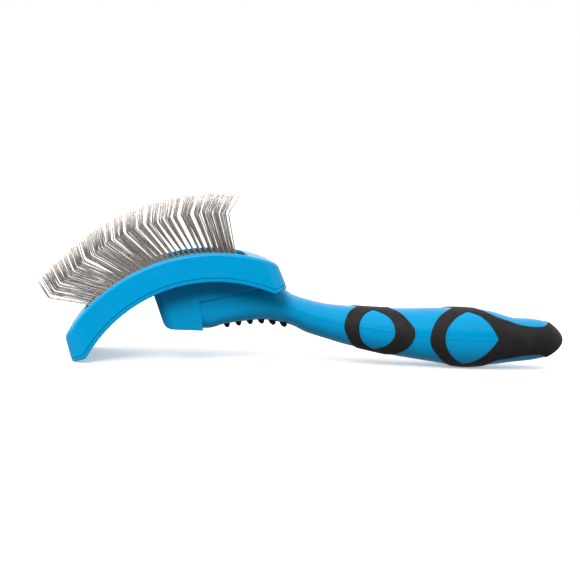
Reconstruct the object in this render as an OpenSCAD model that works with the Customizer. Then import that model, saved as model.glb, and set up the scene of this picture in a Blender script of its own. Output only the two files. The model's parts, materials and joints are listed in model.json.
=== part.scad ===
// Curved grooming brush: an arched head with a cushioned bed of bent wire pins, and a bent
// handle with two soft grips and a nubbed thumb pad.
//
// Frame, in millimetres: X runs along the brush with the handle toward +X, Y across the head
// and Z up. The brush lies pins up on the level plane Z = 0, touching it with the front foot
// of the head and the belly of the rear grip. The origin is under the middle of its length.
//
// The head is drawn in its own arch frame, whose origin is the centre of the arch and whose
// Z is the direction in which the head was drawn from its mould, tilted toward the front.

/* [Head] */
// Radius of the rim about the arch's centre
rim_r = 70; // [68:0.5:74]
// Depth of the head from its rim to its underside, along a radius
head_depth = 11.5; // [11:0.5:13]
// Length of the head at the foot of its end walls
head_len = 90.5; // [88:0.5:94]
// Width of the head at the foot of its side walls
head_w = 51; // [50:1:58]
// Plan radius of the head's corners
head_corner = 8; // [4:0.5:10]
// Draft of the bezel's outer walls, in degrees
wall_draft = 4; // [1:0.5:6]
// Tilt of the head's draw direction toward the front, in degrees
head_tilt = 21; // [18:0.2:24]
// Distance of the arch's centre in front of the origin
arch_back = 39.2; // [38:0.2:41]

/* [Pin bed] */
// Length of the opening in the bezel, across its two ends
opening_len = 69.2; // [66:0.2:71]
// Width of the opening in the bezel
opening_w = 42; // [41:0.5:45]
// Height of the bezel's lip above the bed's face
lip_h = 1.5; // [1.2:0.1:2]
// Number of rows of pins along the arch
row_count = 29; // [9:1:29]
// Number of wire staples in one row, two pins each
staples_per_row = 5; // [2:1:5]
// Width of the pin field
field_w = 38; // [34:0.5:38]
// Angle of the first and last rows from the middle of the arch, in degrees
row_half_angle = 25.6; // [20:0.2:26]

/* [Pins] */
// Diameter of the wire
wire_d = 0.45; // [0.35:0.05:0.6]
// Length of a pin from the bed's face to its knee
shank_l = 18.2; // [12:0.2:20]
// Length of a pin from its knee to its point
point_l = 7.8; // [4:0.2:9]
// Lean of the middle row toward the front, away from square to the bed, in degrees
pin_lean = 27.6; // [15:0.2:30]
// Bend at the knee of the middle row, in degrees
knee_bend = 44.2; // [30:0.2:50]

/* [Handle] */
// Half width of the neck where it meets the head
neck_half_w = 13.2; // [12:0.2:13.4]
// Half width of the belly
belly_half_w = 13.4; // [12:0.2:15]
// Thickness of the soft grips, let into the handle
grip_t = 1.6; // [1:0.1:2]
// Height that the soft grips stand proud of the handle
grip_proud = 0.4; // [0.2:0.1:0.6]

/* [Thumb pad] */
// Number of nubs along the pad
nub_count = 6; // [3:1:6]
// Number of nubs across the pad
nub_lanes = 3; // [1:2:3]
// Diameter of a nub
nub_d = 2.2; // [1.6:0.1:2.6]

/* [Boss] */
// Half width of the boss that takes the neck
boss_half_w = 14; // [13.5:0.25:15]
// Height of the boss's flat underside above the resting plane
boss_foot_z = 13.3; // [12.8:0.1:14.2]

/* [Hidden] */

blue = "#009cd6";
black = "#2d2a2a";
steel = "#918782";
foam = "#c9c6bd";
cloth = "#6f7172";
rubber = "#3b3d40";

eps = 0.01;
fit = 0.2;              // running gap round the pieces that are laid in
slide_gap = 0.3;        // gap round the sprung bed
arch_fn = 240;
deep = 30;              // starts cuts and layers well below the head
hull_fn = 32;
wire_fn = 16;
knee_swell = 0.04;      // a bent wire is this much thicker at its bend

// Radii about the arch's centre, from the underside out to the bed's face
back_r = rim_r - head_depth;
seam_r = back_r + 1.7;              // parting line between the back and the bezel
plate_r = seam_r + 1.3;             // top of the back plate inside the bezel
lip_r = rim_r - lip_h;              // underside of the bezel's lip
face_r = lip_r - fit;               // outer face of the bed
cloth_r = face_r - 1;               // between the rubber face and its cloth
crown_r = cloth_r - 1.3;            // underside of the cloth
cushion_r = crown_r - wire_d - fit; // top of the cushion

// Heights in the arch frame
foot_z = 43.4;                      // flat foot under the end walls
seam_z = foot_z + 1.7;
top_z = rim_r + 2;

// Plan sizes in the arch frame
flange_in = 0.15;                   // the back's flange stands in from the bezel by this
cavity_len = head_len - 10;
cavity_w = opening_w + 4.6;
cavity_corner = 4;
pin_pitch = field_w / (2 * staples_per_row - 0.5);
lean_spread = 8.2;                  // how much more the first row leans than the middle one
bend_spread = 5.4;                  // and how much more it bends

// The foot of the front end wall rests on Z = 0
arch_z = (head_len / 2 - flange_in) * sin(head_tilt) - foot_z * cos(head_tilt);

// Side outline of the boss, X and Z in the row frame
lip_x = -45.3;                      // foot of the lip that covers the neck's end
lip_knee = [-47.3, 24.7];           // where the lip turns along the neck
lip_end = [-21.5, 31.6];            // where the lip runs out under the arch
boss_front = -6.6;                  // front face, X in the arch frame
boss_corner = 5;                    // plan radius of its front corners
boss_round = 4;                     // radius between its front face and its foot

// Tongue on the handle's end, in a pocket of the boss
tongue_x = [-57.5, -44];
tongue_z = [17.4, 22.2];
tongue_half_w = 7;

// Screws through the back plate into the neck
screw_x = [-37.5, -27.5];
screw_d = 2.9;
screw_head_d = 6;
screw_head_h = 1.6;
screw_l = 15;
screw_gap = 0.1;
access_h = 6;                       // open height over a screw's head

// Handle's stations: X, top Z, bottom Z, half width
stations = [
    [-49, 33, 13.5, neck_half_w],
    [-42, 35, 13.6, neck_half_w],
    [-35, 35.3, 15.8, neck_half_w],
    [-22, 34, 17.7, neck_half_w - 0.3],
    [-14, 32.1, 17, neck_half_w - 0.8],
    [-8, 28.5, 15.7, neck_half_w - 1.2],
    [-2, 26.7, 12.9, neck_half_w - 1.8],
    [6, 25.1, 10.6, neck_half_w - 2.4],
    [16, 24.4, 8, neck_half_w - 2.3],
    [34, 24, 4.5, belly_half_w - 1.2],
    [52, 24.8, 2.1, belly_half_w - 0.2],
    [66, 25.3, grip_proud, belly_half_w],
    [78, 24.4, 1.4, belly_half_w - 0.8],
    [88, 22, 2.9, belly_half_w - 2],
    [97, 21.7, 4.1, belly_half_w - 3],
    [103, 20.7, 5.6, belly_half_w - 4.6],
    [107, 18.1, 8, belly_half_w - 7.4],
    [109.4, 15.5, 10.6, belly_half_w - 10],
    [110.4, 13.8, 12.5, belly_half_w - 12.2]
];
section_power = 2.3;                // squareness of the handle's section
neck_square = 1.4;                  // added squareness where the neck meets the head
square_x = [-35, -8];               // between these the added squareness fades
ring_step = 1 / 3;                  // rings drawn per station
ring_sides = 20;
least_half = 0.5;                   // half size at which the section stops shrinking
tail_x = 97;                        // the handle closes in from here to its tip

// Thumb pad, in the handle's concave underside
pad_x = [-38, -6];
pad_half_w = 6.6;
pad_t = 1.2;
nub_x = [-35.1, -11.2];
nub_lane = 4.4;
nub_out = 0.8;                      // centre of a nub's dome below the handle
nub_sunk = 0.6;

// ---- curves ----

function row_name(i) = str("pin_row_", i < 10 ? "0" : "", i);

// Point at u from b to c on the curve through a, b, c and d
function spline(a, b, c, d, u) =
    (2 * b + (c - a) * u + (2 * a - 5 * b + 4 * c - d) * u * u
    + (3 * b - a - 3 * c + d) * u * u * u) / 2;

function handle_at(t) =
    let (last = len(stations) - 1, i = min(floor(t), last - 1))
    spline(stations[max(i - 1, 0)], stations[i], stations[i + 1],
           stations[min(i + 2, last)], t - i);

// Height of the handle's underside near a place on the thumb pad, from a coarse search
function handle_under(x) =
    let (near = [for (t = [0 : 0.05 : 6]) let (s = handle_at(t)) if (s[0] >= x) s[2]])
    near[0];

// Centre of the circle through three points
function circle_centre(a, b, c) =
    let (p = b - a, q = c - a, d = 2 * (p.x * q.y - p.y * q.x))
    a + [q.y * (p * p) - p.y * (q * q), p.x * (q * q) - q.x * (p * p)] / d;

function section_at(x) =
    let (share = (square_x[1] - x) / (square_x[1] - square_x[0]))
    section_power + neck_square * max(0, min(1, share));

function heading(v) = atan2(v.y, v.x);

function turn_of(angle) = angle - 360 * round(angle / 360);

// Points on the arc from a through b to c, without its last point
function arc(a, b, c, n = 10) =
    let (
        o = circle_centre(a, b, c),
        start = heading(a - o),
        sweep = turn_of(heading(b - o) - start) + turn_of(heading(c - o) - heading(b - o))
    )
    [for (i = [0 : n - 1]) o + norm(a - o) * [cos(start + sweep * i / n), sin(start + sweep * i / n)]];

function signed_power(v, e) = sign(v) * pow(abs(v), e);

// ---- shared shapes ----

module arch_frame() {
    translate([-arch_back, 0, arch_z]) rotate([0, -head_tilt, 0]) children();
}

module arch_disc(r) {
    rotate([90, 0, 0]) cylinder(r = r, h = head_w + 20, center = true, $fn = arch_fn);
}

module plan(l, w, r) {
    square([l - 2 * r, w], center = true);
    square([l, w - 2 * r], center = true);
    for (sx = [-1, 1], sy = [-1, 1])
        translate([sx * (l / 2 - r), sy * (w / 2 - r)]) circle(r = r);
}

module plan_block(l, w, r, z0, z1) {
    translate([0, 0, z0]) linear_extrude(z1 - z0) plan(l, w, r, $fn = 48);
}

// The head's outer form, which narrows toward the rim by the draft
module drafted_block(inset, z0) {
    narrow = 2 * (top_z - z0) * tan(wall_draft);
    hull() {
        translate([0, 0, z0]) linear_extrude(eps)
            plan(head_len - 2 * inset, head_w - 2 * inset, head_corner, $fn = hull_fn);
        translate([0, 0, top_z]) linear_extrude(eps)
            plan(head_len - 2 * inset - narrow, head_w - 2 * inset - narrow,
                 head_corner - 1, $fn = hull_fn);
    }
}

// A layer of the bed, between two radii, inside the bezel
module bed_layer(r0, r1, gap) {
    arch_frame() difference() {
        intersection() {
            plan_block(cavity_len - 2 * gap, cavity_w - 2 * gap, cavity_corner, deep, top_z);
            arch_disc(r1);
        }
        arch_disc(r0);
    }
}

// Solid swept through the handle's stations, grown outward or shrunk inward all round
module handle_form(grow) {
    rings = (len(stations) - 1) / ring_step;
    function ring(k) =
        let (
            s = handle_at(k * ring_step),
            tail = max(0, (s[0] - tail_x) / (stations[len(stations) - 1][0] - tail_x)),
            x = s[0] + grow * tail,
            half_h = max((s[1] - s[2]) / 2 + grow, least_half),
            half_w = max(s[3] + grow, least_half),
            power = 2 / section_at(s[0])
        )
        [for (i = [0 : ring_sides - 1]) let (a = 360 * i / ring_sides) [
            x,
            half_w * signed_power(cos(a), power),
            (s[1] + s[2]) / 2 + half_h * signed_power(sin(a), power)
        ]];
    points = [for (k = [0 : rings]) each ring(k)];
    sides = [for (k = [0 : rings - 1], i = [0 : ring_sides - 1]) let (
        a = k * ring_sides + i,
        b = k * ring_sides + (i + 1) % ring_sides
    ) each [[a, a + ring_sides, b], [b, a + ring_sides, b + ring_sides]]];
    ends = [
        [for (i = [0 : ring_sides - 1]) i],
        [for (i = [ring_sides - 1 : -1 : 0]) rings * ring_sides + i]
    ];
    polyhedron(points, concat(sides, ends));
}

// Prism across the handle over an outline in X and Z
module side_prism(w = 80) {
    rotate([90, 0, 0]) linear_extrude(w, center = true) children();
}

// ---- side outlines, X and Z in the row frame ----

// All that lies in front of or above the lip that covers the neck
module seat_side() {
    polygon([[lip_x, -5], [lip_x, boss_foot_z], lip_knee, lip_end, [lip_end.x, 60],
             [-130, 60], [-130, -5]]);
}

// The boss, with a round corner between its front face and its foot
module boss_side() {
    out = [-cos(head_tilt), -sin(head_tilt)];
    front_foot = [-arch_back + boss_front * cos(head_tilt), arch_z + boss_front * sin(head_tilt)];
    centre_z = boss_foot_z + boss_round;
    climb = (centre_z - front_foot.y) / cos(head_tilt);
    centre = [front_foot.x - climb * sin(head_tilt) + boss_round / cos(head_tilt), centre_z];
    intersection() {
        seat_side();
        union() {
            polygon([centre, centre + 30 * out, [-120, 60], [10, 60], [10, boss_foot_z],
                     [centre.x, boss_foot_z]]);
            translate(centre) circle(r = boss_round, $fn = 48);
        }
    }
}

module front_grip_side() {
    difference() {
        polygon(concat(
            arc([22.9, 2.3], [13, 16.8], [22, 27.3]),
            arc([31, 25.7], [38.6, 21.5], [42.8, 15.6]),
            arc([42.8, 14.8], [40, 8.6], [33, 3.2])
        ));
        polygon(concat(
            arc([25.8, 23.6], [19.3, 15.9], [26.1, 7]),
            arc([26.1, 7], [34.3, 15.2], [25.8, 23.6])
        ));
    }
}

module rear_grip_side() {
    difference() {
        polygon(concat(
            arc([62, -1], [49.2, 13.1], [62, 27]),
            [[70, 27]],
            arc([71.5, 25.3], [81.7, 21.6], [93, 19.1], 6),
            arc([93, 19.1], [97, 18.9], [102.9, 20.7], 4),
            [[114, 24], [114, 3]],
            arc([101, 6.3], [97, 7.2], [92, 6.9], 4),
            arc([92, 6.9], [84.7, 5.5], [73.5, 1.4], 6),
            [[72, -1]]
        ));
        polygon(concat(
            arc([66.2, 24.6], [55.5, 13.5], [65.2, 2]),
            arc([65.2, 2], [73.4, 6.9], [78.8, 13.7]),
            arc([78.8, 13.7], [73.8, 20.3], [66.2, 24.6])
        ));
    }
}

// Plan of the thumb pad, a slot with round ends
module thumb_pad_plan() {
    for (x = [pad_x[0] + pad_half_w, pad_x[1] - pad_half_w])
        translate([x, 0]) circle(r = pad_half_w, $fn = 48);
    translate([pad_x[0] + pad_half_w, -pad_half_w])
        square([pad_x[1] - pad_x[0] - 2 * pad_half_w, 2 * pad_half_w]);
}

// ---- spaces cut from the handle ----

module grip_space() {
    difference() {
        side_prism() children();
        handle_form(-grip_t);
    }
}

module thumb_pad_space() {
    difference() {
        linear_extrude(22) thumb_pad_plan();
        handle_form(-pad_t);
    }
}

module head_envelope() {
    arch_frame() difference() {
        drafted_block(flange_in, foot_z);
        arch_disc(back_r);
    }
}

module tongue(gap) {
    translate([tongue_x[0] - gap, -tongue_half_w - gap, tongue_z[0] - gap])
        cube([tongue_x[1] - tongue_x[0] + gap, 2 * (tongue_half_w + gap),
              tongue_z[1] - tongue_z[0] + 2 * gap]);
}

// Top of the screw's head at a place along the arch, sunk into the back plate
function screw_top(x) = arch_z + sqrt(plate_r * plate_r - pow(abs(x + arch_back) + screw_head_d, 2));

module screw_form(x, gap) {
    translate([x, 0, screw_top(x)]) {
        translate([0, 0, -screw_head_h - gap])
            cylinder(d = screw_head_d + 2 * gap, h = screw_head_h + gap + (gap > 0 ? access_h : 0),
                     $fn = 48);
        translate([0, 0, -screw_l - gap])
            cylinder(d = screw_d + 2 * gap, h = screw_l, $fn = 32);
    }
}

// ---- head ----

module head_bezel() {
    color(blue) arch_frame() difference() {
        intersection() {
            drafted_block(0, seam_z);
            arch_disc(rim_r);
        }
        arch_disc(seam_r);
        intersection() {
            plan_block(cavity_len, cavity_w, cavity_corner, deep, top_z);
            arch_disc(lip_r);
        }
        plan_block(opening_len, opening_w, cavity_corner, deep, top_z);
    }
}

module head_back() {
    color(blue) difference() {
        union() {
            arch_frame() difference() {
                union() {
                    intersection() {
                        drafted_block(flange_in, foot_z);
                        union() {
                            arch_disc(seam_r);
                            plan_block(head_len + 2, head_w + 2, 1, foot_z - 1, seam_z);
                        }
                    }
                    intersection() {
                        plan_block(cavity_len - fit, cavity_w - fit, cavity_corner, foot_z, top_z);
                        arch_disc(plate_r);
                    }
                }
                arch_disc(back_r);
            }
            intersection() {
                side_prism(2 * boss_half_w + 4) boss_side();
                arch_frame() translate([boss_front + 40, 0, 0])
                    plan_block(80, 2 * boss_half_w, boss_corner, 10, seam_r);
                arch_frame() arch_disc(seam_r);
            }
        }
        tongue(fit);
        for (x = screw_x) screw_form(x, screw_gap);
    }
}

// ---- sprung bed ----

module pad_cushion() {
    color(foam) difference() {
        bed_layer(plate_r, cushion_r, slide_gap);
        for (x = screw_x) translate([x, 0, screw_top(x)])
            cylinder(d = screw_head_d + 1, h = 1, $fn = 48);
    }
}

module pad_foundation() {
    color(cloth) bed_layer(crown_r, cloth_r, slide_gap);
}

module pad_face() {
    color(rubber) bed_layer(cloth_r, face_r, slide_gap);
}

// Rows are counted from the front. The lean and the bend both grow toward the front.
function row_angle(i) = row_half_angle * (2 * (i - 1) / (row_count - 1) - 1);
function row_lean(i) = pin_lean - lean_spread * row_angle(i) / row_half_angle;
function row_bend(i) = knee_bend - bend_spread * row_angle(i) / row_half_angle;
function row_shift(i) = (i % 2 == 0 ? 1 : -1) * pin_pitch / 4;

// One pin, drawn from the crown of its staple
module pin(i, y) {
    aim = row_angle(i) - row_lean(i);
    buried = (face_r - crown_r + wire_d / 2) / cos(row_lean(i));
    root = [face_r * sin(row_angle(i)), y, face_r * cos(row_angle(i))];
    translate(root) rotate([0, aim, 0]) {
        translate([0, 0, -buried]) {
            cylinder(d = wire_d, h = buried + shank_l, $fn = wire_fn);
            sphere(d = wire_d + knee_swell, $fn = wire_fn);
        }
        translate([0, 0, shank_l]) {
            sphere(d = wire_d + knee_swell, $fn = wire_fn);
            rotate([0, row_bend(i), 0]) cylinder(d = wire_d, h = point_l, $fn = wire_fn);
        }
    }
}

// Crown that joins the two pins of a staple, under the cloth
module crown(i, y) {
    aim = row_angle(i) - row_lean(i);
    buried = (face_r - crown_r + wire_d / 2) / cos(row_lean(i));
    translate([face_r * sin(row_angle(i)) - buried * sin(aim), y,
               face_r * cos(row_angle(i)) - buried * cos(aim)])
        rotate([-90, 0, 0]) cylinder(d = wire_d, h = pin_pitch, $fn = wire_fn);
}

module pin_row(i) {
    color(steel) arch_frame() for (s = [0 : staples_per_row - 1]) {
        y = (2 * s - staples_per_row + 0.5) * pin_pitch + row_shift(i);
        union() {
            pin(i, y);
            pin(i, y + pin_pitch);
            crown(i, y);
        }
    }
}

// ---- handle ----

module handle_core() {
    color(blue) difference() {
        union() {
            difference() {
                handle_form(0);
                side_prism() seat_side();
                head_envelope();
                grip_space() front_grip_side();
                grip_space() rear_grip_side();
                thumb_pad_space();
            }
            tongue(0);
        }
        for (x = screw_x) screw_form(x, screw_gap / 2);
    }
}

module front_grip() {
    color(black) intersection() {
        grip_space() front_grip_side();
        handle_form(grip_proud);
    }
}

module rear_grip() {
    color(black) intersection() {
        grip_space() rear_grip_side();
        handle_form(grip_proud);
    }
}

module thumb_pad() {
    color(black) {
        intersection() {
            thumb_pad_space();
            handle_form(0);
        }
        for (k = [0 : nub_count - 1], lane = [0 : nub_lanes - 1]) {
            x = nub_x[0] + (nub_x[1] - nub_x[0]) * k / (nub_count - 1);
            y = (lane - (nub_lanes - 1) / 2) * nub_lane;
            translate([x, y, handle_under(x) - nub_out]) {
                sphere(d = nub_d, $fn = 24);
                cylinder(d = nub_d, h = nub_out + nub_sunk, $fn = 24);
            }
        }
    }
}

module handle_screws() {
    color(steel) for (x = screw_x) screw_form(x, 0);
}

head_bezel();
head_back();
pad_cushion();
pad_foundation();
pad_face();
handle_core();
front_grip();
rear_grip();
thumb_pad();
handle_screws();
for (i = [1 : row_count])
    pin_row(i);
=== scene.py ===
"""Curved pin grooming brush: blue arched head, bed of bent wire pins, bent handle, black grips.

Lengths are in millimetres and become metres where a mesh is made. The head is drawn in its arch
frame: origin at the arch's centre, Z along the direction in which the head was moulded.
"""
import json
import math
import random

import bmesh
import bpy
import numpy as np
from mathutils import Matrix, Vector
from mathutils.geometry import delaunay_2d_cdt

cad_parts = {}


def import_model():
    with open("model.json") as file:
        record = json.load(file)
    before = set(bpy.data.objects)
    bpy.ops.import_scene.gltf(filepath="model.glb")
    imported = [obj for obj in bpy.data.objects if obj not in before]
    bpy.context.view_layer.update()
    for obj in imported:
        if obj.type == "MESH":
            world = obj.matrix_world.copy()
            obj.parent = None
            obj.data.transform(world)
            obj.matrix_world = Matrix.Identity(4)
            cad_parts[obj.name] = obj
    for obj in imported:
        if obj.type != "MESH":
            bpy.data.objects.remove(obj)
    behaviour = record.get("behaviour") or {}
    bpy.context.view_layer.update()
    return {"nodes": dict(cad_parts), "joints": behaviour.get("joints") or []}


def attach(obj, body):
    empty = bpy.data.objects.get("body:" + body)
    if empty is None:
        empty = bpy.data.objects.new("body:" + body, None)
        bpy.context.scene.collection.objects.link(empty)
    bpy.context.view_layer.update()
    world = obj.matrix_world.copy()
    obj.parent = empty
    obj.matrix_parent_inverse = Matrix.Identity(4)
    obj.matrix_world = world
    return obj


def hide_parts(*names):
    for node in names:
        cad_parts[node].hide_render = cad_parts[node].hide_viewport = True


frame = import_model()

MM = 0.001
WELD = 0.003 * MM                 # points nearer than this become one
TINY = 1e-9
RNG = random.Random(29)

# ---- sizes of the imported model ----

SLIDE = next(j for j in frame["joints"] if j["name"] == "pad_float")
SLIDE_AXIS = Vector(SLIDE["axis"])
TILT = math.atan2(-SLIDE_AXIS.x, SLIDE_AXIS.z)

HEAD_LEN, HEAD_W, HEAD_CORNER = 90.5, 51.0, 8.0
RIM_R, SEAM_R, BACK_R = 70.0, 60.2, 58.5
PLATE_R, LIP_R, FACE_R = 61.5, 68.5, 68.3
CLOTH_R, CROWN_R, CUSHION_R = 67.3, 66.0, 65.35
FOOT_Z, SEAM_Z = 43.4, 45.1
DRAFT_DEG = 4
DRAFT = math.tan(math.radians(DRAFT_DEG))
FLANGE_IN = 0.15
CAVITY = (80.5, 46.6, 4.0)
OPENING = (69.2, 42.0, 4.0)
SLIDE_GAP = 0.3
ARCH_X = -39.2
ARCH_Z = (HEAD_LEN / 2 - FLANGE_IN) * math.sin(TILT) - FOOT_Z * math.cos(TILT)

BOSS_FRONT, BOSS_HALF_W, BOSS_CORNER = -6.6, 14.0, 5.0
BOSS_ROUND = 4.0
LIP_FOOT = Vector((-45.3, 13.3))
LIP_KNEE = Vector((-47.3, 24.7))
LIP_END = Vector((-21.5, 31.6))

ROWS, PINS_PER_ROW = 29, 10
FIELD_W, ROW_HALF_ANGLE = 38.0, 25.6
WIRE_D, SHANK_L, POINT_L = 0.45, 18.2, 7.8
PIN_LEAN, LEAN_SPREAD = 27.6, 8.2
KNEE_BEND, BEND_SPREAD = 44.2, 5.4

# Handle's stations: X, top Z, bottom Z, half width. The last one closes the tip.
STATIONS = np.array([
    (-49, 33, 13.5, 13.2), (-42, 35, 13.6, 13.2), (-35, 35.3, 15.8, 13.2), (-22, 34, 17.7, 12.9),
    (-14, 32.1, 17, 12.4), (-8, 28.5, 15.7, 12.0), (-2, 26.7, 12.9, 11.4),
    (6, 25.1, 10.6, 10.8), (16, 24.4, 8, 10.9), (34, 24, 4.5, 12.2),
    (52, 24.8, 2.1, 13.2), (66, 25.3, 0.4, 13.4), (78, 24.4, 1.4, 12.6),
    (88, 22, 2.9, 11.4), (97, 21.7, 4.1, 10.4), (103, 20.7, 5.6, 8.8),
    (107, 18.1, 8, 6.0), (109.4, 15.5, 10.6, 3.4), (110.4, 13.1, 13.1, 0),
])
SECTION, NECK_SQUARE, SQUARE_X = 2.3, 1.4, (-35.0, -8.0)
GRIP_PROUD = 0.4

# ---- meshes ----


def shade(bm, angle):
    limit = math.radians(angle)
    for edge in bm.edges:
        edge.smooth = len(edge.link_faces) == 2 and edge.calc_face_angle(0) < limit
    for face in bm.faces:
        face.smooth = True


def make_piece(name, verts, faces, material, smooth=60):
    """A mesh object from millimetre points, shaded smooth up to an angle between faces."""
    mesh = bpy.data.meshes.new(name)
    mesh.from_pydata([Vector(v) * MM for v in verts], [], faces)
    bm = bmesh.new()
    bm.from_mesh(mesh)
    bmesh.ops.remove_doubles(bm, verts=bm.verts, dist=WELD)
    bmesh.ops.recalc_face_normals(bm, faces=bm.faces)
    shade(bm, smooth)
    bm.to_mesh(mesh)
    bm.free()
    mesh.materials.append(material)
    piece = bpy.data.objects.new(name, mesh)
    bpy.context.scene.collection.objects.link(piece)
    return piece


def install(piece, body, slot, *nodes):
    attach(piece, body)
    if nodes:
        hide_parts(*nodes)
    return piece


def strip_faces(rows, cols, closed=False, start=0):
    """Quads over rows of points; closed joins the last column to the first."""
    return [
        tuple(start + i for i in (r * cols + c, r * cols + (c + 1) % cols,
                                  (r + 1) * cols + (c + 1) % cols, (r + 1) * cols + c))
        for r in range(rows - 1)
        for c in range(cols if closed else cols - 1)
    ]


def arch_to_row(p):
    """A point of the arch frame in the row frame, both in millimetres."""
    x, y, z = p
    return (ARCH_X + x * math.cos(TILT) - z * math.sin(TILT), y,
            ARCH_Z + x * math.sin(TILT) + z * math.cos(TILT))


def side_to_arch(p):
    """X and Z of the arch frame for a side-view point of the row frame."""
    dx, dz = p[0] - ARCH_X, p[1] - ARCH_Z
    return Vector((dx * math.cos(TILT) + dz * math.sin(TILT),
                   -dx * math.sin(TILT) + dz * math.cos(TILT)))


def curve_between(a, b, c, d, u):
    """Point at share u from b to c of the smooth curve through a, b, c and d."""
    return (2 * b + (c - a) * u + (2 * a - 5 * b + 4 * c - d) * u**2
            + (3 * b - a - 3 * c + d) * u**3) / 2


def arch_height(x, r, floor=0.0):
    return max(math.sqrt(max(r * r - x * x, 0.0)), floor)


# ---- plan loops of the head ----

CORNER_STEPS, SIDE_STEPS, END_STEPS = 10, 72, 26
COLUMNS = 2 * (CORNER_STEPS + 1) + SIDE_STEPS - 1


def plan_columns(length, width, corner):
    """[(x, half width)] from the front end to the handle end of a rounded rectangle."""
    turns = [i / CORNER_STEPS * math.pi / 2 for i in range(CORNER_STEPS + 1)]
    end = [(length / 2 - corner + corner * math.cos(t), width / 2 - corner + corner * math.sin(t))
           for t in turns]
    straight = length - 2 * corner
    side = [(-straight / 2 + straight * i / SIDE_STEPS, width / 2) for i in range(1, SIDE_STEPS)]
    return [(-x, y) for x, y in end] + side + end[::-1]


def plan_loop(length, width, corner):
    """Points round a rounded rectangle, each with its outward direction. It starts at the front
    end, runs down the -Y side, across the handle end, back up the +Y side and across the front."""
    columns = plan_columns(length, width, corner)

    def across(x, half, sign):
        return [(x, sign * half * (2 * j / END_STEPS - 1)) for j in range(1, END_STEPS)]

    loop = [(x, -y) for x, y in columns] + across(*columns[-1], 1)
    loop += [(x, y) for x, y in columns[::-1]] + across(*columns[0], -1)
    inner_x, inner_y = length / 2 - corner, width / 2 - corner
    out = []
    for x, y in loop:
        away = Vector((x - max(-inner_x, min(inner_x, x)), y - max(-inner_y, min(inner_y, y))))
        out.append((Vector((x, y)), away.normalized()))
    return out


class Shell:
    """Collects matched loops of points in the arch frame and joins them into one mesh."""

    def __init__(self):
        self.verts, self.faces = [], []

    def add(self, points):
        start = len(self.verts)
        self.verts += points
        return list(range(start, len(self.verts)))

    def bands(self, loops):
        for a, b in zip(loops, loops[1:]):
            n = len(a)
            self.faces += [(a[i], a[(i + 1) % n], b[(i + 1) % n], b[i]) for i in range(n)]

    def fill(self, loop, height):
        """Closes a plan loop with rows of quads that lie at a height given by x and y."""
        rows = []
        for c in range(COLUMNS):
            near, far = loop[c], loop[2 * (COLUMNS - 1) + END_STEPS - c]
            if c == 0:
                rows.append([loop[-j] for j in range(END_STEPS + 1)])
            elif c == COLUMNS - 1:
                rows.append([loop[c + j] for j in range(END_STEPS + 1)])
            else:
                a, b = Vector(self.verts[near]), Vector(self.verts[far])
                inner = [a.lerp(b, j / END_STEPS) for j in range(1, END_STEPS)]
                rows.append([near] + self.add([(p.x, p.y, height(p.x, p.y)) for p in inner]) + [far])
        self.faces += [(a[j], a[j + 1], b[j + 1], b[j])
                       for a, b in zip(rows, rows[1:]) for j in range(END_STEPS)]

    def piece(self, name, material, smooth=50):
        return make_piece(name, [arch_to_row(v) for v in self.verts], self.faces, material, smooth)


def fillet(r, steps):
    """(inset, drop) pairs round a convex edge, from the wall to the top."""
    turns = [math.pi / 2 * i / steps for i in range(steps + 1)]
    return [(r - r * math.cos(t), r - r * math.sin(t)) for t in turns]


def wall_loop(plan, height, inset=0.0):
    """Loop on the drafted outer wall at a height that depends on X, moved in by inset."""
    ring = []
    for base, out in plan_loop(*plan):
        z = height(base.x)
        for _ in range(3):
            p = base - out * ((z - SEAM_Z) * DRAFT + inset)
            z = height(p.x)
        ring.append((p.x, p.y, z))
    return ring


def level_loop(plan, height, grow=0.0):
    """Plan loop, moved out by grow, at a height that depends on X."""
    ring = [base + out * grow for base, out in plan_loop(*plan)]
    return [(p.x, p.y, height(p.x)) for p in ring]


def seam_height(x):
    return arch_height(x, SEAM_R, SEAM_Z)


def head_bezel(material):
    shell = Shell()
    plan = (HEAD_LEN, HEAD_W, HEAD_CORNER)
    foot_edge, rim_edge, lip_edge = 0.2, 1.2, 0.6
    wall_span, wall_rings, rim_rings = (0.05, 0.97), 12, 9

    def wall_height(share):
        return lambda x: seam_height(x) * (1 - share) + (arch_height(x, RIM_R) - rim_edge) * share

    loops = [wall_loop(plan, lambda x: seam_height(x) + drop, inset)
             for inset, drop in fillet(foot_edge, 3)[::-1]]
    loops += [wall_loop(plan, wall_height(share)) for share in np.linspace(*wall_span, wall_rings)]
    loops += [wall_loop(plan, lambda x: arch_height(x, RIM_R - drop), inset)
              for inset, drop in fillet(rim_edge, 9)]
    rim, lip = loops[-1], level_loop(OPENING, lambda x: 0, lip_edge)
    for share in np.linspace(0, 1, rim_rings)[1:-1]:
        ring = [Vector(a[:2]).lerp(Vector(b[:2]), share) for a, b in zip(rim, lip)]
        loops.append([(p.x, p.y, arch_height(p.x, RIM_R)) for p in ring])
    loops += [level_loop(OPENING, lambda x: arch_height(x, RIM_R - drop), inset)
              for inset, drop in fillet(lip_edge, 6)[::-1]]
    loops.append(level_loop(OPENING, lambda x: arch_height(x, LIP_R)))
    loops.append(level_loop(CAVITY, lambda x: arch_height(x, LIP_R)))
    loops.append(level_loop(CAVITY, seam_height))
    ids = [shell.add(ring) for ring in loops]
    shell.bands(ids + ids[:1])
    return shell.piece("head_bezel_shell", material)


def foot_height(x):
    return arch_height(x, BACK_R, FOOT_Z)


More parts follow.
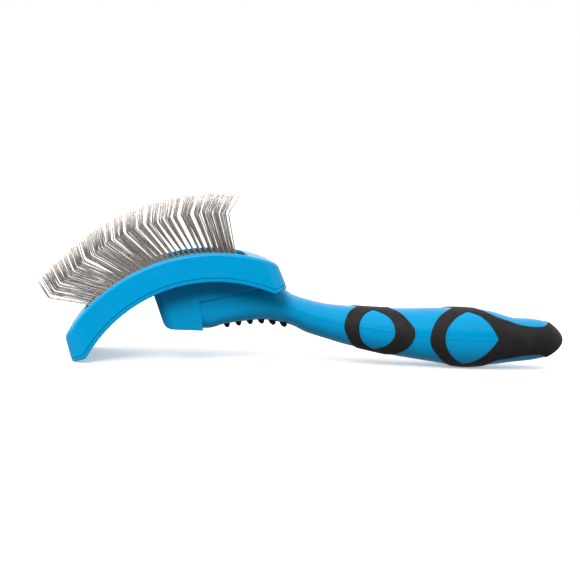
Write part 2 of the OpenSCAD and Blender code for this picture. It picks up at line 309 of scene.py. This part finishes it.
def head_back(material):
    shell = Shell()
    foot_edge, seam_gap, clear = 0.5, 0.12, 0.2
    plan = (HEAD_LEN - 2 * FLANGE_IN, HEAD_W - 2 * FLANGE_IN, HEAD_CORNER - FLANGE_IN)
    inner = (CAVITY[0] - clear, CAVITY[1] - clear, CAVITY[2])
    loops = [wall_loop(plan, lambda x: foot_height(x) + drop, inset)
             for inset, drop in fillet(foot_edge, 4)[::-1]]
    loops.append(wall_loop(plan, lambda x: seam_height(x) - seam_gap))
    loops.append(level_loop(inner, lambda x: seam_height(x) - seam_gap))
    loops.append(level_loop(inner, lambda x: arch_height(x, PLATE_R)))
    ids = [shell.add(ring) for ring in loops]
    shell.bands(ids)
    shell.fill(ids[0], lambda x, y: foot_height(x))
    shell.fill(ids[-1], lambda x, y: arch_height(x, PLATE_R))
    return shell.piece("head_back_plate", material)


def boss_underside():
    """Side outline of the boss's underside in the arch frame, from its front to the arch."""
    foot_run, lip_run, neck_run, round_steps = 26, 20, 40, 14
    corner = 0.45
    lip, knee, end = (side_to_arch(p) for p in (LIP_FOOT, LIP_KNEE, LIP_END))
    slope = math.tan(TILT)
    centre = Vector((BOSS_FRONT + BOSS_ROUND, 0))
    centre.y = lip.y - (centre.x - lip.x) * slope + BOSS_ROUND / math.cos(TILT)
    turns = [math.pi + (math.pi / 2 - TILT) * i / round_steps for i in range(round_steps + 1)]
    points = [centre + BOSS_ROUND * Vector((math.cos(t), math.sin(t))) for t in turns]
    last = points[-1]
    before = lip + (last - lip).normalized() * corner
    after = lip + (knee - lip).normalized() * corner
    points += [last.lerp(before, i / foot_run) for i in range(1, foot_run + 1)]
    points += [before.lerp(lip, t).lerp(lip.lerp(after, t), t) for t in (0.25, 0.5, 0.75, 1.0)]
    points += [after.lerp(knee, i / lip_run) for i in range(1, lip_run + 1)]
    points += [knee.lerp(end, i / neck_run) for i in range(1, neck_run + 1)]
    return points


def boss_half_width(x):
    inside = BOSS_FRONT + BOSS_CORNER - x
    if inside <= 0:
        return BOSS_HALF_W
    return BOSS_HALF_W - BOSS_CORNER + math.sqrt(max(BOSS_CORNER**2 - inside**2, 0.0))


def head_boss(material):
    shell = Shell()
    edge, sunk = 0.5, 0.4
    climb, across, round_steps = 20, 18, 4
    sections = []
    for x, z in ((p.x, p.y) for p in boss_underside()):
        half = boss_half_width(x)
        room = arch_height(x, SEAM_R - sunk) - z - edge
        side = [(half, z + edge + room * i / climb) for i in range(climb + 1)]
        flat = [((half - edge) * i / across, z) for i in range(across)]
        turn = [(half - edge + edge * math.sin(a), z + edge - edge * math.cos(a))
                for a in (math.pi / 2 * i / round_steps for i in range(round_steps))]
        right = flat + turn + side
        sections.append([(x, y, h) for y, h in right[::-1]] + [(x, -y, h) for y, h in right[1:]])
    count = len(sections[0])
    for ring in sections:
        shell.add(ring)
    shell.faces += strip_faces(len(sections), count, closed=True)
    shell.faces.append(tuple(range(count)))
    shell.faces.append(tuple(range(len(shell.verts) - 1, len(shell.verts) - 1 - count, -1)))
    return shell.piece("head_boss", material, 40)


def bed_layer(name, r0, r1, edge, material):
    """A layer of the bed between two radii, with round edges."""
    shell = Shell()
    plan = (CAVITY[0] - 2 * SLIDE_GAP, CAVITY[1] - 2 * SLIDE_GAP, CAVITY[2])
    turns = fillet(edge, 4)
    loops = [level_loop(plan, lambda x: arch_height(x, r0 + drop), -inset)
             for inset, drop in turns[::-1]]
    loops += [level_loop(plan, lambda x: arch_height(x, r1 - drop), -inset)
              for inset, drop in turns]
    ids = [shell.add(ring) for ring in loops]
    shell.bands(ids)
    shell.fill(ids[0], lambda x, y: arch_height(x, r0))
    shell.fill(ids[-1], lambda x, y: arch_height(x, r1))
    return shell.piece(name, material)


# ---- pins ----


def tube(path, radius, sides=8):
    """Closed tube round a path that lies roughly in an upright plane along the brush."""
    path = [Vector(p) for p in path]
    tip_share = 0.6
    verts = []
    for i, p in enumerate(path):
        along = (path[min(i + 1, len(path) - 1)] - path[max(i - 1, 0)]).normalized()
        side = along.cross(Vector((0, 1, 0))).normalized()
        other = along.cross(side)
        r = radius * (tip_share if i == len(path) - 1 else 1)
        turns = [2 * math.pi * k / sides for k in range(sides)]
        verts += [p + (side * math.cos(a) + other * math.sin(a)) * r for a in turns]
    faces = strip_faces(len(path), sides, closed=True)
    faces += [tuple(range(sides)), tuple(range(len(verts) - sides, len(verts)))]
    return verts, faces


def pin_path(row, y, row_lean):
    """Root, round knee and point of one pin, each a little out of true as real wire is."""
    buried, reach, knee_steps, taper = 1.6, 0.9, 7, 0.15
    lean_off, bend_off, sway_off, length_off = 1.7, 2.0, 0.012, 0.12
    along = 2 * row / (ROWS - 1) - 1
    angle = math.radians(ROW_HALF_ANGLE * along)
    lean = math.radians(PIN_LEAN - LEAN_SPREAD * along + row_lean + RNG.gauss(0, lean_off))
    bend = math.radians(KNEE_BEND - BEND_SPREAD * along + row_lean + RNG.gauss(0, bend_off))
    aim, sway = angle - lean, RNG.gauss(0, sway_off)
    first = Vector((math.sin(aim), sway, math.cos(aim))).normalized()
    second = Vector((math.sin(aim + bend), 1.5 * sway, math.cos(aim + bend))).normalized()
    root = Vector((FACE_R * math.sin(angle), y, FACE_R * math.cos(angle)))
    knee = root + first * (SHANK_L + RNG.gauss(0, length_off))
    end = knee + second * (POINT_L + RNG.gauss(0, length_off))
    path = [root - first * buried, root, root.lerp(knee, 0.5)]
    for i in range(knee_steps):
        t = i / (knee_steps - 1)
        path.append((knee - first * reach).lerp(knee, t).lerp(knee.lerp(knee + second * reach, t), t))
    return [arch_to_row(p) for p in path + [end - second * taper, end]]


def pin_rows(material):
    """Rows of pins, staggered by half a pitch, each with a small lean of its own."""
    row_off, place_off = 0.9, 0.07
    pitch = FIELD_W / (PINS_PER_ROW - 0.5)
    for row in range(ROWS):
        shift = pitch / 4 * (1 if row % 2 else -1)
        row_lean = RNG.gauss(0, row_off)
        verts, faces = [], []
        for k in range(PINS_PER_ROW):
            y = (k - PINS_PER_ROW / 2 + 0.5) * pitch + shift + RNG.gauss(0, place_off)
            points, quads = tube(pin_path(row, y, row_lean), WIRE_D / 2)
            faces += [tuple(i + len(verts) for i in face) for face in quads]
            verts += points
        node = f"pin_row_{row + 1:02d}"
        install(make_piece(f"{node}_wires", verts, faces, material, 50), "pin_bed", "pin_wire", node)


# ---- handle's surface ----
# A point is (t, f): t counts stations, f is -1 at the bottom line, 0 at the side, 1 at the top.

LAST = len(STATIONS) - 1
TIP_MIRROR = STATIONS[-2][[0, 2, 1, 3]] * (1, 1, 1, -1)
PADDED = np.vstack([STATIONS[:1], STATIONS, TIP_MIRROR[None]])
TURNS = np.linspace(0, math.pi / 2, 361)
FLATNESS = 0.8
GIRTH = np.concatenate([[0], np.cumsum(np.hypot(
    np.diff(np.cos(TURNS) ** (2 / SECTION)), np.diff(FLATNESS * np.sin(TURNS) ** (2 / SECTION))))])
GIRTH /= GIRTH[-1]


def power_at(x):
    """Exponent of the section's curve at X, for a squarer section toward the head."""
    share = (SQUARE_X[1] - np.asarray(x, float)) / (SQUARE_X[1] - SQUARE_X[0])
    return 2 / (SECTION + NECK_SQUARE * np.clip(share, 0, 1))


def handle_size(t):
    """X, top Z, bottom Z and half width at t, which may be an array."""
    t = np.clip(np.asarray(t, float), 0, LAST)
    i = np.minimum(t.astype(int), LAST - 1)
    u = (t - i)[..., None]
    size = curve_between(*(PADDED[i + k] for k in range(4)), u)
    return size[..., 0], size[..., 1], size[..., 2], size[..., 3]


T_STEPS = 80
T_TABLE = np.linspace(0, LAST, LAST * T_STEPS + 1)
X_TABLE = np.maximum.accumulate(handle_size(T_TABLE)[0])


def t_at(x):
    return np.interp(x, X_TABLE, T_TABLE)


def f_at(x, z):
    """f of the point at X and Z on the handle's side, +-1 beyond its outline."""
    _, top, bottom, _ = handle_size(t_at(x))
    q = np.clip((z - (top + bottom) / 2) / ((top - bottom) / 2), -1, 1)
    turn = np.arcsin(np.sign(q) * np.abs(q) ** (1 / power_at(x)))
    return np.sign(turn) * np.interp(np.abs(turn), TURNS, GIRTH)


def surface(t, f):
    t, f = np.broadcast_arrays(np.asarray(t, float), np.asarray(f, float))
    side = np.where(np.abs(f) > 1, -1, 1)
    f = np.where(np.abs(f) > 1, 2 * np.sign(f) - f, f)
    x, top, bottom, half = handle_size(t)
    power = power_at(x)
    a = np.sign(f) * np.interp(np.abs(f), GIRTH, TURNS)
    y = -side * half * np.abs(np.cos(a)) ** power
    y = np.where(np.abs(f) > 1 - TINY, 0.0, y)
    z = (top + bottom) / 2 + (top - bottom) / 2 * np.sign(a) * np.abs(np.sin(a)) ** power
    return np.stack([x, y, z], -1)


def raised(t, f, grow):
    """Points that stand proud of the surface by grow."""
    t, f, grow = np.broadcast_arrays(*(np.asarray(v, float) for v in (t, f, grow)))
    dt, df, blunt = 0.02, 0.01, 0.06
    along = surface(np.minimum(t + dt, LAST), f) - surface(np.maximum(t - dt, 0), f)
    around = surface(t, f + df) - surface(t, f - df)
    n = np.cross(along, around)
    size = np.linalg.norm(n, axis=-1, keepdims=True)
    forward = np.array((1.0, 0.0, 0.0))
    n = np.where(size > TINY, n / np.maximum(size, TINY), forward)
    at_tip = np.clip((t - (LAST - blunt)) / blunt, 0, 1)[..., None]
    n = n * (1 - at_tip) + forward * at_tip
    n[..., 1] = np.where(np.abs(f) > 1 - TINY, 0.0, n[..., 1])
    n /= np.linalg.norm(n, axis=-1, keepdims=True)
    return surface(t, f) + n * grow[..., None]


# Parting line on the handle's side: X and Z
PARTING = np.array([(-49, 20.3), (-20, 25.1), (-4, 21), (8, 18.6), (19.1, 17.2), (33.9, 15.3),
                    (42.9, 14.2), (55.8, 13.4), (78.1, 13.5), (95, 13.2), (111, 13.1)])


def trim(piece, point, away):
    """Cuts off all of a closed piece that lies on the far side of a plane and caps it."""
    bm = bmesh.new()
    bm.from_mesh(piece.data)
    cut = bmesh.ops.bisect_plane(bm, geom=bm.verts[:] + bm.edges[:] + bm.faces[:], dist=1e-7,
                                 plane_co=point * MM, plane_no=away.normalized(), clear_outer=True)
    rim = [e for e in cut["geom_cut"] if isinstance(e, bmesh.types.BMEdge)]
    bmesh.ops.edgenet_fill(bm, edges=rim)
    shade(bm, 45)
    bm.to_mesh(piece.data)
    bm.free()


def handle_core(material):
    bead_half, bead_rise, bead_from = 0.012, 0.06, (4, 20)
    ring_gap, per_side = 0.6, 26
    ts = []
    for i in range(LAST):
        n = max(8, math.ceil((STATIONS[i + 1][0] - STATIONS[i][0]) / ring_gap))
        ts += [i + k / n for k in range(n)]
    ts.append(LAST)
    bead = np.array((-1, -0.5, 0, 0.5, 1))
    verts = []
    for t in ts:
        x = float(handle_size(t)[0])
        middle = float(f_at(x, np.interp(x, *PARTING.T)))
        fs = np.concatenate([
            np.linspace(-1, middle - bead_half, per_side)[:-1],
            middle + bead_half * bead,
            np.linspace(middle + bead_half, 1, per_side)[1:],
        ])
        share = np.clip(1 - np.abs(fs - middle) / bead_half, 0, 1)
        near = raised(t, fs, bead_rise * float(np.interp(x, bead_from, (0, 1))) * share**0.5)
        far = near[-2:0:-1] * (1, -1, 1)
        verts += [tuple(p) for p in np.vstack([near, far])]
    count = len(verts) // len(ts)
    faces = strip_faces(len(ts), count, closed=True)
    faces.append(tuple(range(count)))
    piece = make_piece("handle_moulding", verts, faces, material, 45)
    for a, b in ((LIP_FOOT, LIP_KNEE), (LIP_KNEE, LIP_END)):
        trim(piece, Vector((a.x, 0, a.y)), Vector((-(b - a).y, 0, (b - a).x)))
    return piece


# ---- soft grips ----
# Their outlines are drawn on the -Y half in (u, v): u is a length along the side, v one round it.

U_TABLE = np.concatenate([[0], np.cumsum(np.linalg.norm(np.diff(
    surface(T_TABLE, np.zeros_like(T_TABLE)), axis=0), axis=1))])
V_TOP = 20.0
EDGE_RINGS = (0.12, 0.28, 0.5)


def to_uv(x, z):
    return np.array((float(np.interp(t_at(x), T_TABLE, U_TABLE)), V_TOP * float(f_at(x, z))))


def on_line(x, side):
    """Point of the top (1) or bottom (-1) line at X."""
    return np.array((to_uv(x, 0)[0], side * V_TOP))


def place(uv, grow):
    uv = np.asarray(uv)
    t = np.interp(uv[:, 0], U_TABLE, T_TABLE)
    return [tuple(p) for p in raised(t, np.clip(uv[:, 1] / V_TOP, -1, 1), grow)]


def smooth_through(points, square_ends=False, gap=0.45):
    """Curve through (u, v) points. square_ends makes it meet the top or bottom line squarely."""
    points = [np.array(p, float) for p in points]
    first, last = 2 * points[0] - points[1], 2 * points[-1] - points[-2]
    if square_ends:
        first[0], last[0] = points[1][0], points[-2][0]
    points = [first] + points + [last]
    line = []
    for a, b, c, d in zip(points, points[1:], points[2:], points[3:]):
        n = max(2, math.ceil(np.linalg.norm(c - b) / gap))
        line += [curve_between(a, b, c, d, u) for u in np.arange(n) / n]
    return line + [points[-2]]


def centre_line(a, b, gap=0.9):
    """Points along the top or bottom line, closer at its ends for the rounded edges."""
    a, b = np.array(a, float), np.array(b, float)
    length = np.linalg.norm(b - a)
    n = max(2, math.ceil((length - 2) / gap))
    steps = [0, *EDGE_RINGS, *np.linspace(1, length - 1, n), *(length - s for s in EDGE_RINGS[::-1]),
             length]
    return [a + (b - a) * s / length for s in steps]


def inside(points, loop):
    """Which of an array of points lie inside a closed loop."""
    x, y = points[:, 0], points[:, 1]
    hit = np.zeros(len(points), bool)
    for (ax, ay), (bx, by) in zip(loop, np.roll(loop, -1, axis=0)):
        if ay != by:
            hit ^= ((ay > y) != (by > y)) & (x < (bx - ax) * (y - ay) / (by - ay) + ax)
    return hit


def distance_to(points, lines):
    """Distance of each point from the nearest of some polylines."""
    best = np.full(len(points), np.inf)
    for line in lines:
        for a, b in zip(line, line[1:]):
            run = b - a
            share = np.clip(((points - a) @ run) / (run @ run), 0, 1)
            best = np.minimum(best, np.linalg.norm(points - a - share[:, None] * run, axis=1))
    return best


def beside(line, inset):
    """Points on a polyline's left at a distance from it."""
    run = np.gradient(line, axis=0)
    left = np.stack([-run[:, 1], run[:, 0]], -1) / np.linalg.norm(run, axis=1, keepdims=True)
    return line + left * inset


def soft_skin(name, outer, window, edges, material):
    """Soft moulding over the handle with a window in each side. edges are the lines where it
    really ends, with the moulding on their left; elsewhere it carries on past the top or bottom
    line. Both halves are meshed from the same triangles."""
    lattice, edge_r, sunk = 0.85, 0.35, 0.35
    edge_clear, line_clear, same_point = 0.95, 0.25, 1e-5
    outer, window = np.array(outer), np.array(window)
    lines = [np.array(line) for line in edges]
    lo, hi = outer.min(0), outer.max(0)
    cells = np.array([(u, v) for u in np.arange(lo[0], hi[0] - 0.1, lattice)
                      for v in np.arange(-V_TOP + lattice / 2, V_TOP, lattice)])
    loose = np.vstack([cells[distance_to(cells, lines) > edge_clear]]
                      + [beside(line, s) for line in lines for s in EDGE_RINGS])
    loose = loose[inside(loose, outer) & ~inside(loose, window)
                  & (np.abs(loose[:, 1]) < V_TOP - line_clear)]
    points, sides = [], []
    for loop in (outer, window):
        start, n = len(points), len(loop)
        points += [Vector(p) for p in loop]
        sides += [(start + i, start + (i + 1) % n) for i in range(n)]
    points += [Vector(p) for p in loose]
    flat, _, tris, *_ = delaunay_2d_cdt(points, sides, [], 0, same_point)
    flat, tris = np.array([tuple(p) for p in flat]), np.array([tuple(t) for t in tris])
    middle = flat[tris].mean(axis=1)
    tris = tris[inside(middle, outer) & ~inside(middle, window)]
    into = np.clip(1 - distance_to(flat, lines) / edge_r, 0, 1)
    verts = place(flat, GRIP_PROUD - edge_r * (1 - np.sqrt(1 - into**2)))
    faces = [tuple(t) for t in tris]
    for line in lines:
        start, n = len(verts), len(line)
        verts += place(line, GRIP_PROUD - edge_r) + place(line, -sunk)
        faces += [(start + i, start + i + 1, start + n + i + 1, start + n + i) for i in range(n - 1)]
    faces += [tuple(i + len(verts) for i in face[::-1]) for face in faces]
    return make_piece(name, verts + [(x, -y, z) for x, y, z in verts], faces, material)


def front_grip(material):
    left = smooth_through([on_line(21, -1), to_uv(16.3, 10.1), to_uv(13, 16.6), to_uv(14.9, 22.2),
                           on_line(19.8, 1)], True)
    right = smooth_through([on_line(33.5, 1), to_uv(38.7, 21.4), to_uv(42.6, 16.2),
                            to_uv(41.6, 10.8), to_uv(37.6, 6.6), on_line(31, -1)], True)
    high, low = to_uv(25.8, 23.5), to_uv(26.1, 7.1)
    window = smooth_through([high, to_uv(21, 21.1), to_uv(19.3, 16.6), to_uv(21, 10.9), low])[:-1]
    window += smooth_through([low, to_uv(32.3, 10.5), to_uv(34.3, 15.2), to_uv(32, 20.9), high])
    outer = left[:-1] + centre_line(left[-1], right[0])[:-1] + right[:-1]
    outer += centre_line(right[-1], left[0])[:-1]
    return soft_skin("front_grip_skin", outer, window[:-1],
                     [line[::-1] for line in (left, right, window)], material)


def rear_grip(material):
    left = smooth_through([on_line(62, -1), to_uv(54.6, 4.6), to_uv(50, 9.7), to_uv(49.3, 15.1),
                           to_uv(52.6, 21.4), on_line(61, 1)], True)
    upper = smooth_through([on_line(71.2, 1), to_uv(77.7, 22.9), to_uv(85, 20.7), to_uv(92, 19.2),
                            to_uv(97, 19), to_uv(101, 19.7), on_line(103.8, 1)], True)
    lower = smooth_through([on_line(103.5, -1), to_uv(100.3, 6.7), to_uv(96, 7.3), to_uv(90, 6.6),
                            to_uv(84, 5.4), to_uv(78, 3.8), on_line(73.2, -1)], True)
    high, low, back = to_uv(66.3, 24.3), to_uv(65.3, 2.2), to_uv(78.7, 13.7)
    window = smooth_through([high, to_uv(60, 21.5), to_uv(56, 16.6), to_uv(56.1, 10.7),
                             to_uv(60, 5.2), low])[:-1]
    window += smooth_through([low, to_uv(70.6, 4.6), to_uv(75.4, 9.1), back])[:-1]
    window += smooth_through([back, to_uv(75.4, 18.9), to_uv(71.2, 22.8), high])
    tip, tip_points = U_TABLE[-1], 24
    outer = left[:-1] + centre_line(left[-1], upper[0])[:-1] + upper[:-1]
    outer += centre_line(upper[-1], (tip, V_TOP))[:-1]
    outer += [np.array((tip, v)) for v in np.linspace(V_TOP, -V_TOP, tip_points)[:-1]]
    outer += centre_line((tip, -V_TOP), lower[0])[:-1] + lower[:-1]
    outer += centre_line(lower[-1], left[0])[:-1]
    return soft_skin("rear_grip_skin", outer, window[:-1],
                     [line[::-1] for line in (left, upper, lower, window)], material)


# ---- thumb pad ----


def under(x, y, grow=0.0):
    """Point on the handle's underside at X and Y, proud of it by grow."""
    t = t_at(x)
    half = handle_size(t)[3]
    turn = np.arccos(np.clip(abs(y) / half, 0, 1) ** (1 / power_at(x)))
    p = raised(t, -np.interp(turn, TURNS, GIRTH), grow)
    return float(p[0]), float(math.copysign(p[1], y)), float(p[2])


def nubs(shell, pad_rise):
    """Rows of domed nubs, wider at the root."""
    x0, x1, count, lanes, lane = -35.1, -11.2, 6, 3, 4.4
    r, root_r, height, sides, dome_steps = 1.1, 1.25, 1.9, 20, 6
    root = ((root_r, -0.1), (r + 0.05, 0.1), (r, 0.3))
    profile = [(radius, pad_rise + rise) for radius, rise in root] + [(r, height - r)]
    profile += [(r * math.cos(a), height - r + r * math.sin(a))
                for a in (math.pi / 2 * k / dome_steps for k in range(1, dome_steps))]
    for i in range(count):
        for k in range(lanes):
            x, y, z = under(x0 + (x1 - x0) * i / (count - 1), (k - (lanes - 1) / 2) * lane)
            start = len(shell.verts)
            turns = [2 * math.pi * j / sides for j in range(sides)]
            shell.verts += [(x + radius * math.cos(a), y + radius * math.sin(a), z - drop)
                            for radius, drop in profile for a in turns]
            shell.verts.append((x, y, z - height))
            shell.faces += strip_faces(len(profile), sides, closed=True, start=start)
            last = start + (len(profile) - 1) * sides
            shell.faces += [(last + j, last + (j + 1) % sides, last + sides) for j in range(sides)]


def thumb_pad(material):
    x0, x1, half_w = -38.0, -6.0, 6.6
    rise, edge, sunk = 0.1, 0.1, 0.4
    centre = (x0 + x1) / 2
    plan = plan_loop(x1 - x0, 2 * half_w, half_w - 0.01)
    shell, middle = Shell(), Shell()
    rings = [(0.0, -sunk)] + [(-inset, rise - drop) for inset, drop in fillet(edge, 4)]
    loops = [[base + out * inset for base, out in plan] for inset, _ in rings]
    shell.bands([shell.add([under(centre + p.x, p.y, grow) for p in loop])
                 for loop, (_, grow) in zip(loops, rings)])
    middle.fill(middle.add([(centre + p.x, p.y, 0.0) for p in loops[-1]]), lambda x, y: 0.0)
    start = len(shell.verts)
    shell.verts += [under(x, y, rise) for x, y, _ in middle.verts]
    shell.faces += [tuple(i + start for i in face) for face in middle.faces]
    nubs(shell, rise)
    return make_piece("thumb_pad_skin", shell.verts, shell.faces, material, 50)


# ---- materials ----


class Look:
    """A procedural material: one shader with its own noise on colour, roughness and surface."""

    def __init__(self, name, colour, rough, metallic=0.0, specular=0.5):
        self.material = bpy.data.materials.new(name)
        self.material.use_nodes = True
        self.tree = self.material.node_tree
        self.shader = self.tree.nodes["Principled BSDF"]
        for key, value in (("Base Color", (*colour, 1)), ("Roughness", rough),
                           ("Metallic", metallic), ("Specular IOR Level", specular)):
            self.shader.inputs[key].default_value = value
        self.place = self.tree.nodes.new("ShaderNodeTexCoord").outputs["Object"]
        self.normal = None

    def noise(self, scale, detail=4.0):
        node = self.tree.nodes.new("ShaderNodeTexNoise")
        node.inputs["Scale"].default_value = scale
        node.inputs["Detail"].default_value = detail
        self.tree.links.new(self.place, node.inputs["Vector"])
        return node.outputs["Fac"]

    def rough(self, scale, low, high):
        """Varies the roughness from place to place between two values."""
        node = self.tree.nodes.new("ShaderNodeMapRange")
        for key, number in (("From Min", 0.3), ("From Max", 0.7), ("To Min", low), ("To Max", high)):
            node.inputs[key].default_value = number
        self.tree.links.new(self.noise(scale), node.inputs["Value"])
        self.tree.links.new(node.outputs["Result"], self.shader.inputs["Roughness"])

    def tint(self, scale, dark, light):
        """Varies the base colour between two colours."""
        node = self.tree.nodes.new("ShaderNodeValToRGB")
        for element, position, colour in zip(node.color_ramp.elements, (0.3, 0.7), (dark, light)):
            element.position, element.color = position, (*colour, 1)
        self.tree.links.new(self.noise(scale), node.inputs["Fac"])
        self.tree.links.new(node.outputs["Color"], self.shader.inputs["Base Color"])

    def bump(self, height, depth_mm, strength=1.0):
        node = self.tree.nodes.new("ShaderNodeBump")
        node.inputs["Strength"].default_value = strength
        node.inputs["Distance"].default_value = depth_mm * MM
        self.tree.links.new(height, node.inputs["Height"])
        if self.normal is not None:
            self.tree.links.new(self.normal, node.inputs["Normal"])
        self.normal = node.outputs["Normal"]
        self.tree.links.new(self.normal, self.shader.inputs["Normal"])


def blue_plastic():
    look = Look("blue_plastic", (0.0, 0.32, 0.64), 0.24, specular=0.16)
    look.tint(40, (0.0, 0.31, 0.62), (0.0, 0.33, 0.66))
    look.rough(120, 0.18, 0.3)
    look.bump(look.noise(900, 3), 0.012, 0.5)
    look.bump(look.noise(60, 2), 0.05, 0.3)
    return look.material


def grip_rubber():
    look = Look("grip_rubber", (0.014, 0.0135, 0.0135), 0.62, specular=0.25)
    look.tint(300, (0.011, 0.0105, 0.0105), (0.018, 0.017, 0.017))
    look.rough(700, 0.55, 0.72)
    look.bump(look.noise(2600, 5), 0.045, 0.7)
    return look.material


def pin_wire():
    look = Look("pin_wire", (0.5, 0.455, 0.42), 0.3, metallic=1.0)
    look.tint(500, (0.4, 0.36, 0.33), (0.62, 0.57, 0.53))
    look.rough(900, 0.24, 0.42)
    look.bump(look.noise(5000, 2), 0.006, 0.5)
    return look.material


def bed_rubber():
    look = Look("bed_rubber", (0.15, 0.14, 0.135), 0.7)
    look.tint(200, (0.13, 0.12, 0.115), (0.17, 0.16, 0.155))
    look.rough(400, 0.6, 0.8)
    look.bump(look.noise(1500), 0.05, 0.6)
    return look.material


def bed_cloth():
    look = Look("bed_cloth", (0.16, 0.165, 0.17), 0.9)
    wave = look.tree.nodes.new("ShaderNodeTexWave")
    wave.inputs["Scale"].default_value = 700
    look.tree.links.new(look.place, wave.inputs["Vector"])
    look.bump(wave.outputs["Fac"], 0.1, 0.8)
    look.rough(500, 0.82, 0.95)
    return look.material


def cushion_foam():
    look = Look("cushion_foam", (0.56, 0.54, 0.48), 0.95)
    look.tint(900, (0.46, 0.44, 0.39), (0.62, 0.6, 0.54))
    look.bump(look.noise(1800, 6), 0.3, 0.9)
    return look.material


def screw_steel():
    look = Look("screw_steel", (0.55, 0.54, 0.52), 0.35, metallic=1.0)
    look.rough(300, 0.28, 0.45)
    look.bump(look.noise(2000), 0.01, 0.5)
    return look.material


# ---- the brush ----

blue = blue_plastic()
black = grip_rubber()

install(head_bezel(blue), "brush", "blue_plastic", "head_bezel")
install(head_back(blue), "brush", "blue_plastic", "head_back")
install(head_boss(blue), "brush", "blue_plastic")
install(handle_core(blue), "brush", "blue_plastic", "handle_core")
install(front_grip(black), "brush", "grip_rubber", "front_grip")
install(rear_grip(black), "brush", "grip_rubber", "rear_grip")
install(thumb_pad(black), "brush", "grip_rubber", "thumb_pad")
pin_rows(pin_wire())
install(bed_layer("pad_rubber_face", CLOTH_R, FACE_R, 0.3, bed_rubber()),
        "pin_bed", "bed_rubber", "pad_face")
install(bed_layer("pad_cloth_layers", CROWN_R, CLOTH_R, 0.2, bed_cloth()),
        "pin_bed", "bed_cloth", "pad_foundation")
cushion = bed_layer("foam_cushion", PLATE_R, CUSHION_R, 0.8, cushion_foam())
install(cushion, "brush", "cushion_foam", "pad_cushion")

screws = frame["nodes"]["handle_screws"]
screws.data.materials.clear()
screws.data.materials.append(screw_steel())

# ---- studio ----


def floor():
    half, glow = 30.0, 0.35
    mesh = bpy.data.meshes.new("floor")
    mesh.from_pydata([(-half, -half, 0), (half, -half, 0), (half, half, 0), (-half, half, 0)],
                     [], [(0, 1, 2, 3)])
    look = Look("floor_paint", (0.95, 0.95, 0.95), 0.9, specular=0.1)
    look.shader.inputs["Emission Color"].default_value = (1, 1, 1, 1)
    look.shader.inputs["Emission Strength"].default_value = glow
    mesh.materials.append(look.material)
    plane = bpy.data.objects.new("floor", mesh)
    plane.visible_diffuse = plane.visible_glossy = False
    bpy.context.scene.collection.objects.link(plane)


def flag(centre, half_w, half_h):
    """Black card on the camera's side that keeps its glare off the brush, unseen by the camera."""
    mesh = bpy.data.meshes.new("flag")
    corners = [(-half_w, -half_h), (half_w, -half_h), (half_w, half_h), (-half_w, half_h)]
    mesh.from_pydata([Vector(centre) + Vector((x, 0, z)) for x, z in corners], [], [(0, 1, 2, 3)])
    mesh.materials.append(Look("flag_cloth", (0.02, 0.02, 0.02), 1.0, specular=0.0).material)
    card = bpy.data.objects.new("flag", mesh)
    card.visible_camera = False
    bpy.context.scene.collection.objects.link(card)


def area_light(name, place, aim, size, power):
    light = bpy.data.lights.new(name, "AREA")
    light.size, light.energy = size, power
    lamp = bpy.data.objects.new(name, light)
    lamp.location = place
    lamp.rotation_euler = (Vector(aim) - Vector(place)).to_track_quat("-Z", "Y").to_euler()
    bpy.context.scene.collection.objects.link(lamp)


def world(below, level, zenith):
    """White surroundings, dimmer below the horizon, where the floor hides them, and overhead."""
    horizon, band_top = 0.49, 0.6
    made = bpy.data.worlds.new("studio")
    made.use_nodes = True
    nodes, links = made.node_tree.nodes, made.node_tree.links
    split = nodes.new("ShaderNodeSeparateXYZ")
    links.new(nodes.new("ShaderNodeTexCoord").outputs["Generated"], split.inputs["Vector"])
    height = nodes.new("ShaderNodeMapRange")
    height.inputs["From Min"].default_value = -1
    links.new(split.outputs["Z"], height.inputs["Value"])
    ramp = nodes.new("ShaderNodeValToRGB")
    stops = ramp.color_ramp.elements
    for position, value in ((horizon - 0.04, below), (horizon, level), (band_top, level),
                            (1.0, zenith)):
        stop = stops.new(position)
        stop.color = (value, value, value, 1)
    stops.remove(stops[0])
    links.new(height.outputs["Result"], ramp.inputs["Fac"])
    links.new(ramp.outputs["Color"], nodes["Background"].inputs["Color"])
    bpy.context.scene.world = made


def camera():
    """Almost square to the brush's side, a little toward the front and a little above."""
    sensor_mm, lens_mm, nearest, farthest = 36, 71.73, 0.02, 50
    right, up = Vector((0.99145, -0.1211, 0.04835)), Vector((-0.03803, 0.0866, 0.9956))
    place = Vector((-0.06956, -0.480, 0.06957))
    back = right.cross(up)
    data = bpy.data.cameras.new("camera")
    data.sensor_width, data.lens = sensor_mm, lens_mm
    data.clip_start, data.clip_end = nearest, farthest
    cam = bpy.data.objects.new("camera", data)
    cam.matrix_world = Matrix([(*axes, at) for *axes, at in zip(right, up, back, place)]
                              + [(0, 0, 0, 1)])
    bpy.context.scene.collection.objects.link(cam)
    bpy.context.scene.camera = cam


floor()
world(below=0.3, level=1.0, zenith=0.35)
flag(centre=(0, -0.8, 0.16), half_w=0.9, half_h=0.2)
area_light("key", place=(-0.25, -0.75, 0.6), aim=(0, 0, 0.02), size=0.4, power=6)
area_light("fill", place=(-0.7, -0.1, 0.12), aim=(-0.1, 0, 0.02), size=0.3, power=1.6)
camera()
bpy.context.scene.view_settings.view_transform = "Standard"
